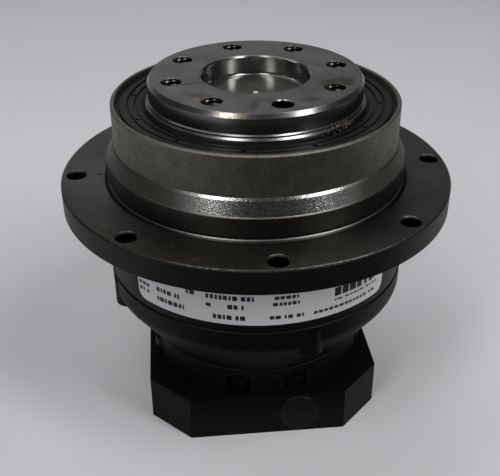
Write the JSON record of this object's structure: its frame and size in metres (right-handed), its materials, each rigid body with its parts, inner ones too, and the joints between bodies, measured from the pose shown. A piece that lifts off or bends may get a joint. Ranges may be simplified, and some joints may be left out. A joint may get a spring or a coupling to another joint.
{
  "type": "planetary gearbox",
  "caption": "Coaxial two-stage planetary gearbox with a threaded output flange, a round mounting flange with a pilot, and a clamped motor input plate.",
  "frame": {"origin": "centre of the motor face, the underside of the adapter plate", "axes": "+Z along the output axis towards the output flange; the access plug is on the -Y side"},
  "size_m": [0.118, 0.118, 0.106],
  "materials": {
    "flange_steel": "ground",
    "housing_steel": "turned, oiled; painted black below the mounting face and on the rim",
    "bearing_steel": "polished",
    "gear_steel": "ground",
    "dark_steel": "oil blackened",
    "bronze": "satin",
    "black_cast": "satin black paint on a cast skin",
    "black_plate": "satin black",
    "black_screws": "black oxide",
    "seal_rubber": "matte",
    "plug_plastic": "matte",
    "label": "satin film"
  },
  "bodies": {
    "housing": {"output_housing": "housing_steel", "output_shaft_seal": "seal_rubber", "output_ring_gear": "gear_steel", "upper_bearing_outer_ring": "bearing_steel", "lower_bearing_outer_ring": "bearing_steel", "input_ring_gear": "gear_steel", "input_housing": "black_cast", "housing_o_ring": "seal_rubber", "housing_screws": "black_screws", "oil_plug": "black_screws", "input_cover": "black_cast", "cover_screws": "black_screws", "input_shaft_seal": "seal_rubber", "input_bearing_outer_ring": "bearing_steel", "adapter_plate": "black_plate", "adapter_screws": "black_screws", "data_plate": "label"},
    "output_carrier": {"output_carrier": "flange_steel", "upper_bearing_inner_ring": "bearing_steel", "upper_bearing_balls": "bearing_steel", "lower_bearing_inner_ring": "bearing_steel", "lower_bearing_balls": "bearing_steel", "bearing_spacer": "gear_steel", "bearing_lock_nut": "dark_steel", "carrier_thrust_pad": "dark_steel", "output_planet_pin_1": "gear_steel", "output_planet_pin_2": "gear_steel", "output_planet_pin_3": "gear_steel", "output_planet_washers_1": "bronze", "output_planet_washers_2": "bronze", "output_planet_washers_3": "bronze"},
    "intermediate_carrier": {"intermediate_carrier": "gear_steel", "output_sun_gear": "gear_steel", "input_pin_circlips": "dark_steel", "input_planet_pin_1": "gear_steel", "input_planet_pin_2": "gear_steel", "input_planet_pin_3": "gear_steel"},
    "input_shaft": {"input_hub": "gear_steel", "input_sun_gear": "gear_steel", "input_bearing_inner_ring": "bearing_steel", "input_bearing_balls": "bearing_steel", "hub_circlip": "dark_steel", "clamp_ring": "dark_steel", "clamp_screw": "black_screws"},
    "access_plug": {"access_plug": "plug_plastic"},
    "output_planet_1": {"output_planet_gear_1": "gear_steel", "output_planet_rollers_1": "bearing_steel"},
    "input_planet_1": {"input_planet_gear_1": "gear_steel", "input_planet_rollers_1": "bearing_steel"},
    "output_planet_2": {"output_planet_gear_2": "gear_steel", "output_planet_rollers_2": "bearing_steel"},
    "input_planet_2": {"input_planet_gear_2": "gear_steel", "input_planet_rollers_2": "bearing_steel"},
    "output_planet_3": {"output_planet_gear_3": "gear_steel", "output_planet_rollers_3": "bearing_steel"},
    "input_planet_3": {"input_planet_gear_3": "gear_steel", "input_planet_rollers_3": "bearing_steel"}
  },
  "joints": [
    {"name": "output_spin", "type": "hinge", "parent": "housing", "child": "output_carrier", "pos_m": [0, 0, 0.08], "axis": [0, 0, 1], "continuous": true},
    {"name": "intermediate_spin", "type": "hinge", "parent": "housing", "child": "intermediate_carrier", "pos_m": [0, 0, 0.045], "axis": [0, 0, 1], "continuous": true},
    {"name": "input_spin", "type": "hinge", "parent": "housing", "child": "input_shaft", "pos_m": [0, 0, 0.02], "axis": [0, 0, 1], "continuous": true},
    {"name": "output_planet_1_spin", "type": "hinge", "parent": "output_carrier", "child": "output_planet_1", "pos_m": [0, 0.0225, 0.0568], "axis": [0, 0, 1], "continuous": true},
    {"name": "input_planet_1_spin", "type": "hinge", "parent": "intermediate_carrier", "child": "input_planet_1", "pos_m": [0, 0.018, 0.0341], "axis": [0, 0, 1], "continuous": true},
    {"name": "output_planet_2_spin", "type": "hinge", "parent": "output_carrier", "child": "output_planet_2", "pos_m": [-0.01949, -0.01125, 0.0568], "axis": [0, 0, 1], "continuous": true},
    {"name": "input_planet_2_spin", "type": "hinge", "parent": "intermediate_carrier", "child": "input_planet_2", "pos_m": [-0.01559, -0.009, 0.0341], "axis": [0, 0, 1], "continuous": true},
    {"name": "output_planet_3_spin", "type": "hinge", "parent": "output_carrier", "child": "output_planet_3", "pos_m": [0.01949, -0.01125, 0.0568], "axis": [0, 0, 1], "continuous": true},
    {"name": "input_planet_3_spin", "type": "hinge", "parent": "intermediate_carrier", "child": "input_planet_3", "pos_m": [0.01559, -0.009, 0.0341], "axis": [0, 0, 1], "continuous": true},
    {"name": "access_plug_slide", "type": "slide", "parent": "housing", "child": "access_plug", "axis": [0, -1, 0], "range_m": [0, 0.02]}
  ],
  "couplings": [
    {"joint": "intermediate_spin", "follows": "output_spin", "ratio": 5},
    {"joint": "input_spin", "follows": "output_spin", "ratio": 50},
    {"joint": "output_planet_1_spin", "follows": "output_spin", "ratio": -2.6667},
    {"joint": "input_planet_1_spin", "follows": "output_spin", "ratio": -11.25},
    {"joint": "output_planet_2_spin", "follows": "output_spin", "ratio": -2.6667},
    {"joint": "input_planet_2_spin", "follows": "output_spin", "ratio": -11.25},
    {"joint": "output_planet_3_spin", "follows": "output_spin", "ratio": -2.6667},
    {"joint": "input_planet_3_spin", "follows": "output_spin", "ratio": -11.25}
  ]
}
